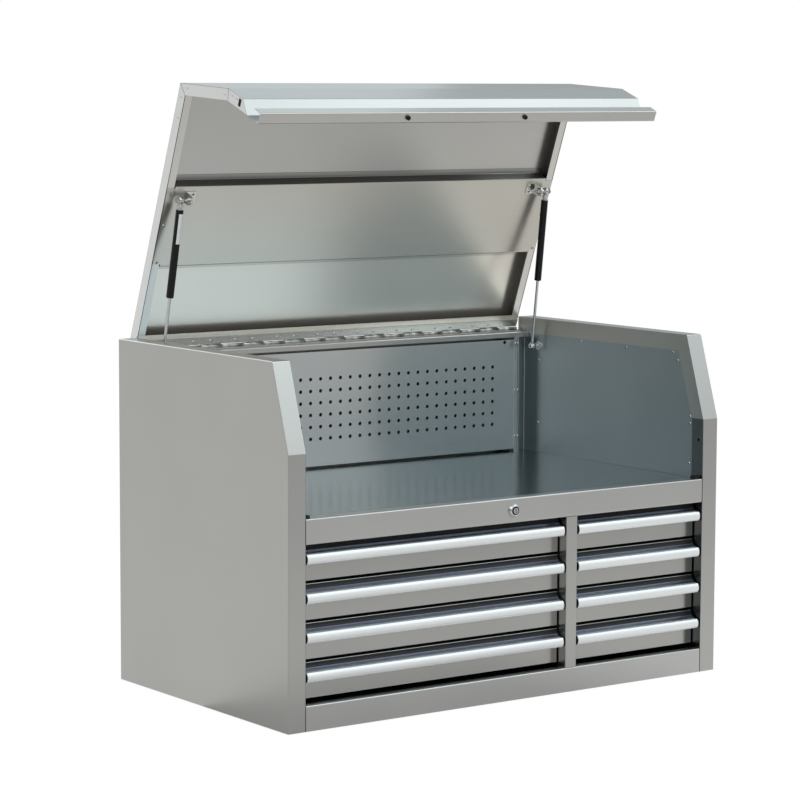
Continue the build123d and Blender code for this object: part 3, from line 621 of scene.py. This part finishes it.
# ---------------------------------------------------------------- turned and folded pieces
def turned(bm, profile, base, axis, steps=40, ring=False):
    """Adds a turned shape from (radius, height) points in millimetres; a ring's last point joins its first."""
    turn = Vector(axis).to_track_quat("Z", "Y")
    rings = []
    for radius, rise in profile:
        loop = []
        for step in range(steps if radius > 0 else 1):
            angle = 2 * math.pi * step / steps
            offset = Vector((radius * MM * math.cos(angle), radius * MM * math.sin(angle), rise * MM))
            loop.append(bm.verts.new(Vector(base) + turn @ offset))
        rings.append(loop)
    pairs = list(zip(rings, rings[1:])) + ([(rings[-1], rings[0])] if ring else [])
    for low, high in pairs:
        for step in range(steps):
            after = (step + 1) % steps
            corners = [low[step % len(low)], low[after % len(low)], high[after % len(high)], high[step % len(high)]]
            bm.faces.new(list(dict.fromkeys(corners)))


BEAD_PROFILE = ((-0.5, -0.2), (-0.5, 0.4), (-0.2, 1.0), (0.2, 1.0), (0.5, 0.4), (0.5, -0.2))


def bead(bm, start, end, out, size):
    """Adds a low bevelled bead of one (width, rise) from start to end that stands out from a face."""
    along = (end - start).normalized()
    across = along.cross(Vector(out)).normalized() * size[0]
    outward = Vector(out) * size[1]
    sections = []
    for spot in (start, end):
        sections.append([bm.verts.new(spot + across * a + outward * b) for a, b in BEAD_PROFILE])
    count = len(BEAD_PROFILE)
    for index in range(count):
        after = (index + 1) % count
        bm.faces.new((sections[0][index], sections[0][after], sections[1][after], sections[1][index]))
    bm.faces.new(sections[0])
    bm.faces.new(sections[1])


CREASE = math.radians(30)


def finished(name, bm, finish, body):
    """Turns built geometry into a named piece that rides on a body."""
    bmesh.ops.recalc_face_normals(bm, faces=bm.faces)
    mesh = bpy.data.meshes.new(name)
    bm.to_mesh(mesh)
    bm.free()
    mesh.materials.append(finish)
    mesh.shade_smooth()
    mesh.set_sharp_from_angle(angle=CREASE)
    piece = bpy.data.objects.new(name, mesh)
    scene.collection.objects.link(piece)
    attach(piece, body)
    return piece


LOCK_BODY = 9.5  # body's radius in millimetres
LOCK_BORE = 6.06  # radius round the plug
LOCK_FACE = (
    (LOCK_BODY, 0.0), (13.5, 0.0), (13.5, 0.9), (13.3, 1.8), (12.9, 2.8), (12.3, 3.8), (11.5, 4.7), (10.5, 5.4),
    (9.6, 5.8), (9.0, 6.0), (8.6, 5.8), (8.4, 4.6), (LOCK_BORE, 4.6),
)
# black ring in the groove round the plug: painted shade
LOCK_GROOVE_SHADE = ((LOCK_BORE + 0.05, 4.62), (8.3, 4.62), (8.3, 4.8), (LOCK_BORE + 0.05, 4.8))


def lock_face():
    """Turned lock face: body, flange, cone, rim, and a black ring in the groove round the plug as painted shade."""
    low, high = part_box("lock_barrel")
    base = Vector(((low[0] + high[0]) / 2, front, (low[2] + high[2]) / 2))
    tail = (high[1] - front) / MM
    body = ((LOCK_BORE, -tail), (LOCK_BODY, -tail))
    bm = bmesh.new()
    turned(bm, body + LOCK_FACE, base, (0, -1, 0), 48, ring=True)
    piece = finished("lock_face", bm, chrome, "cabinet")
    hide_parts("lock_barrel")
    bm = bmesh.new()
    turned(bm, LOCK_GROOVE_SHADE, base, (0, -1, 0), ring=True)
    finished("lock_groove_shade", bm, joint_and_shade_dark, "cabinet")


STRUT_CLIP = ((4.0, 9.5), (5.6, 9.8), (6.0, 11.0), (6.0, 12.5), (5.6, 13.7), (4.0, 14.0))
LABEL_SKIN = (7.52 * MM, 7.70 * MM)  # label's inner and outer radius
LABEL_RUN = (27 * MM, 87 * MM)  # from the upper eye, along the strut
LABEL_HALF = math.radians(58)
LABEL_FACING = (0.41, -0.91, 0.0)
LABEL_STEPS = 16


def strut_details(side):
    """Clip on the neck, and a plain label on the left cylinder."""
    eye = Vector(joint[f"strut_{side}_swing"]["pos_m"])
    axis = Vector(joint[f"strut_{side}_stroke"]["axis"])
    bm = bmesh.new()
    turned(bm, STRUT_CLIP, eye, axis, 24, ring=True)
    finished(f"strut_{side}_clip", bm, stud_steel, f"strut_{side}_barrel")
    if side == "right":
        return
    bm = bmesh.new()
    facing = Vector(LABEL_FACING)
    facing = (facing - axis * facing.dot(axis)).normalized()
    beside = axis.cross(facing)
    (inside, outside), (low, high) = LABEL_SKIN, LABEL_RUN
    section = ((inside, low), (outside, low), (outside, high), (inside, high))
    loops = []
    for step in range(LABEL_STEPS + 1):
        angle = LABEL_HALF * (2 * step / LABEL_STEPS - 1)
        out = facing * math.cos(angle) + beside * math.sin(angle)
        loops.append([bm.verts.new(eye + axis * run + out * radius) for radius, run in section])
    for first, second in zip(loops, loops[1:]):
        for index in range(4):
            after = (index + 1) % 4
            bm.faces.new((first[index], first[after], second[after], second[index]))
    bm.faces.new(loops[0])
    bm.faces.new(loops[-1])
    finished("strut_left_label", bm, label_white, "strut_left_barrel")


RAIL_SEAM = (1.5 * MM, 0.25 * MM)
MITRE_SEAM = (0.9 * MM, 0.2 * MM)
FOLD_SEAM = (1.3 * MM, 0.2 * MM)
FOLD_INSET = 1.5 * MM
FOLD_ENDS = (68 * MM, 8 * MM)  # fold line's ends, behind the front and before the hinge pin
# shut lid's end joints, in millimetres behind the front and above the base
END_MITRES = (((53.8, 686.6), (68, 666)), ((0.8, 522.8), (21.7, 517)))


def seams():
    """Dark joints between rails and stiles, and the mitred corners and folds of the lid's ends."""
    bm = bmesh.new()
    for rail in ("top_rail", "bottom_rail"):
        low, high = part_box(rail)
        for side in SIDES:
            x = side * inner_x
            bead(bm, Vector((x, front, low[2])), Vector((x, front, high[2])), (0, -1, 0), RAIL_SEAM)
    finished("rail_seams", bm, joint_and_shade_dark, "cabinet")
    bm = bmesh.new()
    fold_run = (front + FOLD_ENDS[0], hinge_y - FOLD_ENDS[1])
    for side in SIDES:
        for mitre in END_MITRES:
            ends = [lid_spot(side * lid_x, front + y * MM, z * MM) for y, z in mitre]
            bead(bm, *ends, lid_facing(side, 0, 0), MITRE_SEAM)
        fold = [lid_spot(side * (lid_x - FOLD_INSET), y, skirt_z) for y in fold_run]
        bead(bm, *fold, lid_facing(0, 0, -1), FOLD_SEAM)
    finished("lid_end_seams", bm, joint_and_shade_dark, "lid")


# bright beads along the uprights' outer edges: painted highlight
POST_EDGE = (1.1 * MM, 0.3 * MM)
POST_EDGE_INSET = 0.8 * MM
POST_JOINT = (0.9 * MM, 0.3 * MM)
POST_JOINT_GAP = 0.5 * MM
POST_CLEAR = 2 * MM  # bead's ends to the post's ends


def post_edge_highlights():
    """Bright beads along the rolled edges of the pegboard's uprights as a painted highlight, and the dark joint
    beside the panel.
    """
    low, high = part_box("pegboard_posts")
    for name, finish, slot, reach, size in (
        ("post_edge_highlights", rivet_steel, "stud_steel", high[0] - POST_EDGE_INSET, POST_EDGE),
        ("post_joints", joint_and_shade_dark, "rubber", peg_high[0] + POST_JOINT_GAP, POST_JOINT),
    ):
        bm = bmesh.new()
        for side in SIDES:
            ends = [Vector((side * reach, low[1], z)) for z in (low[2] + POST_CLEAR, high[2] - POST_CLEAR)]
            bead(bm, *ends, (0, -1, 0), size)
        finished(name, bm, finish, "cabinet")


CATCH_SIZE = Vector((4.4, 17, 11)) * MM
CATCH_INSET = 3.4 * MM
CATCH_FROM_FRONT = 11 * MM
CATCH_ROUND = 0.6 * MM


def latch_catches():
    """Black catch with rounded edges behind the slot in each lid end."""
    bm = bmesh.new()
    for side in SIDES:
        middle = Vector((side * (lid_x - CATCH_INSET), front + CATCH_FROM_FRONT, LATCH_Z))
        for vert in bmesh.ops.create_cube(bm, size=1.0)["verts"]:
            vert.co = lid_spot(*(middle + vert.co * CATCH_SIZE))
    bmesh.ops.bevel(bm, geom=list(bm.edges), offset=CATCH_ROUND, segments=2, affect="EDGES")
    finished("latch_catches", bm, rubber, "lid")


BUMPER = ((0, 0.6), (1.6, 0.9), (2.2, 4.6), (3.6, 4.9), (4.4, 4.2), (4.7, 2.6), (4.7, 0.0), (0, 0.0))


def bumpers():
    """Small turned rubber bumpers, dished at the foot, under the lid's front flange."""
    bm = bmesh.new()
    for side in SIDES:
        base = lid_spot(side * BUMPER_X, front + BUMPER_FROM_FRONT, LID_BOTTOM)
        turned(bm, BUMPER, base, lid_facing(0, 0, -1), 28)
    piece = finished("rubber_bumpers", bm, rubber, "lid")
    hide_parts("lid_bumpers")


lock_face()
bumpers()
for side in SIDES:
    strut_details(SIDE_NAMES[side])
seams()
post_edge_highlights()
latch_catches()


# ---------------------------------------------------------------- studio
WHITE = (1.0, 1.0, 1.0, 1.0)
PAPER = (0.85, 0.85, 0.85, 1.0)
# where the dome is dimmed: direction, light left there, and the nearness where the fall starts and ends
DIM_PARTS = (
    ((-0.96, -0.27, 0.05), 0.15, 0.90, 0.97),  # unlit end of the studio
    ((0.59, 0.80, 0.10), 0.70, 0.50, 0.85),  # corner away from the lamps
)
DOME = (  # the dome's colour by how steeply a direction rises
    (0.0, (0.70, 0.70, 0.69)), (0.22, (0.52, 0.535, 0.53)), (0.34, (0.95, 1.05, 1.10)),
    (0.50, (1.02, 1.12, 1.16)), (0.75, (0.66, 0.76, 0.82)),
)
ROOM_LEVEL = 0.66  # light from all round on plain surfaces
FLOOR_DROP = 1.5 * MM
FLOOR_REACH = 14.0
FLOOR_GLOW = 1.12
FLOOR_SHARE = 0.80  # how much of the floor's look is its own glow
# the floor's glow as the metal sees it: least and most, between two places in front of the chest
FLOOR_FADE = (0.39, 0.80, -2.6, -0.95)
# painted shadow of the chest on the floor before the left bank, seen only in the metal: where it starts and ends
# along y and x, and by how much
SHADOW_PATCH_Y = (-0.78, -0.48)
SHADOW_PATCH_X = (0.10, 0.50)
SHADOW_PATCH_DARK = 0.36


def world_dome():
    """White behind everything; metal sees a soft dome, cooler overhead and dark at the unlit end."""
    world = bpy.data.worlds.new("white_studio")
    world.use_nodes = True
    scene.world = world
    tree = world.node_tree
    tree.nodes.clear()
    path = add(tree, "ShaderNodeLightPath").outputs
    seen = maths(tree, "MAXIMUM", path["Is Camera Ray"], path["Is Transmission Ray"])
    facing = add(tree, "ShaderNodeTexCoord").outputs["Generated"]
    parts = add(tree, "ShaderNodeSeparateXYZ", {"Vector": facing})
    rise = add(tree, "ShaderNodeValToRGB", {"Fac": parts.outputs["Z"]})
    ramp = rise.color_ramp.elements
    while len(ramp) < len(DOME):
        ramp.new(0.5)
    for element, (place, colour) in zip(ramp, DOME):
        element.position = place
        element.color = (*colour, 1.0)
    ends = 1.0
    for toward, left, start, stop in DIM_PARTS:
        near = add(tree, "ShaderNodeVectorMath", {0: facing, 1: toward}, operation="DOT_PRODUCT").outputs["Value"]
        ends = maths(tree, "MULTIPLY", ends, spread(tree, near, 1.0, left, start, stop))
    reflected = add(tree, "ShaderNodeBackground", {"Color": rise.outputs["Color"], "Strength": ends})
    level = add(tree, "ShaderNodeBackground", {"Color": WHITE, "Strength": ROOM_LEVEL})
    white = add(tree, "ShaderNodeBackground", {"Color": WHITE})
    lit = add(tree, "ShaderNodeMixShader", {
        0: path["Is Glossy Ray"], 1: level.outputs["Background"], 2: reflected.outputs["Background"],
    })
    full = add(tree, "ShaderNodeMixShader", {0: seen, 1: lit.outputs["Shader"], 2: white.outputs["Background"]})
    out = add(tree, "ShaderNodeOutputWorld")
    tree.links.new(full.outputs["Shader"], out.inputs["Surface"])


def studio_floor():
    """White paper floor: it glows white to the camera, dims towards the front and keeps the chest's soft shadow; the
    metal also sees a painted shadow of the chest before the left bank.
    """
    mesh = bpy.data.meshes.new("floor")
    corners = [(x * FLOOR_REACH, y * FLOOR_REACH, 0) for x, y in ((-1, -1), (1, -1), (1, 1), (-1, 1))]
    mesh.from_pydata(corners, [], [(0, 1, 2, 3)])
    floor = bpy.data.objects.new("floor", mesh)
    floor.location.z = -FLOOR_DROP
    scene.collection.objects.link(floor)
    material, tree = blank_material("floor_white")
    paper = add(tree, "ShaderNodeBsdfDiffuse", {"Color": PAPER})
    path = add(tree, "ShaderNodeLightPath").outputs
    at = add(tree, "ShaderNodeSeparateXYZ", {"Vector": object_place(tree)})
    far = spread(tree, at.outputs["Y"], *FLOOR_FADE)
    # painted shadow of the chest on the floor, seen only in the metal
    near = maths(tree, "MULTIPLY", spread(tree, at.outputs["Y"], 0.0, 1.0, *SHADOW_PATCH_Y),
                 spread(tree, at.outputs["X"], 1.0, 0.0, *SHADOW_PATCH_X))
    front_only = maths(tree, "MULTIPLY", near, maths(tree, "LESS_THAN", at.outputs["Y"], 0.0))
    dim = maths(tree, "SUBTRACT", far, maths(tree, "MULTIPLY", front_only, SHADOW_PATCH_DARK))
    strength = add(tree, "ShaderNodeMix", {0: path["Is Camera Ray"], 2: dim, 3: FLOOR_GLOW})
    glow = add(tree, "ShaderNodeEmission", {"Color": WHITE, "Strength": strength.outputs[0]})
    seen = maths(tree, "MAXIMUM", path["Is Camera Ray"], path["Is Glossy Ray"])
    full = add(tree, "ShaderNodeMixShader", {
        0: maths(tree, "MULTIPLY", seen, FLOOR_SHARE), 1: paper.outputs["BSDF"], 2: glow.outputs["Emission"],
    })
    out = add(tree, "ShaderNodeOutputMaterial")
    tree.links.new(full.outputs["Shader"], out.inputs["Surface"])
    mesh.materials.append(material)


def soft_lamp(name, place, aim, size, watts, colour):
    """Softbox that shows in the metal but not to the camera."""
    lamp = bpy.data.lights.new(name, "AREA")
    lamp.shape = "RECTANGLE"
    lamp.size = size[0]
    lamp.size_y = size[1]
    lamp.energy = watts
    lamp.color = colour
    holder = bpy.data.objects.new(name, lamp)
    holder.location = place
    holder.rotation_euler = (Vector(aim) - Vector(place)).to_track_quat("-Z", "Y").to_euler()
    holder.visible_camera = False
    scene.collection.objects.link(holder)


CAMERA_AZIMUTH = math.radians(-35.788)
CAMERA_RISE = math.radians(6.338)
CAMERA_ROLL = math.radians(0.235)
CAMERA_AIM = Vector((-0.0567, -0.005, 0.5652))
CAMERA_DISTANCE = 5.8084
CAMERA_END = 60.0
PICTURE_WIDTH = 800  # pixels
FOCAL_LENGTH = 2902.9  # pixels
SENSOR = 36.0


def photo_camera():
    """Camera fitted to the photograph's corners."""
    level = math.cos(CAMERA_RISE)
    back = Vector((math.sin(CAMERA_AZIMUTH) * level, -math.cos(CAMERA_AZIMUTH) * level, math.sin(CAMERA_RISE)))
    right = Vector((0, 0, 1)).cross(back).normalized()
    up = back.cross(right)
    across = right * math.cos(CAMERA_ROLL) + up * math.sin(CAMERA_ROLL)
    upward = up * math.cos(CAMERA_ROLL) - right * math.sin(CAMERA_ROLL)
    lens = bpy.data.cameras.new("photo_camera")
    lens.lens = FOCAL_LENGTH / PICTURE_WIDTH * SENSOR
    lens.sensor_width = SENSOR
    lens.clip_end = CAMERA_END
    holder = bpy.data.objects.new("photo_camera", lens)
    turn = Matrix((across, upward, back)).transposed().to_4x4()
    turn.translation = CAMERA_AIM + back * CAMERA_DISTANCE
    holder.matrix_world = turn
    scene.collection.objects.link(holder)
    scene.camera = holder


world_dome()
studio_floor()
soft_lamp("key_softbox", (2.6, -2.8, 3.75), (0.0, -0.2, 0.8), (3.0, 1.9), 27, (0.92, 0.985, 1.0))
soft_lamp("fill_softbox", (-2.0, -2.1, 3.0), (0.2, 0.0, 0.5), (2.6, 2.0), 18, (1.0, 0.99, 0.97))
soft_lamp("back_softbox", (0.3, 1.35, 2.1), (0.0, 0.0, 1.15), (1.7, 1.6), 3.6, (0.90, 0.98, 1.0))
photo_camera()
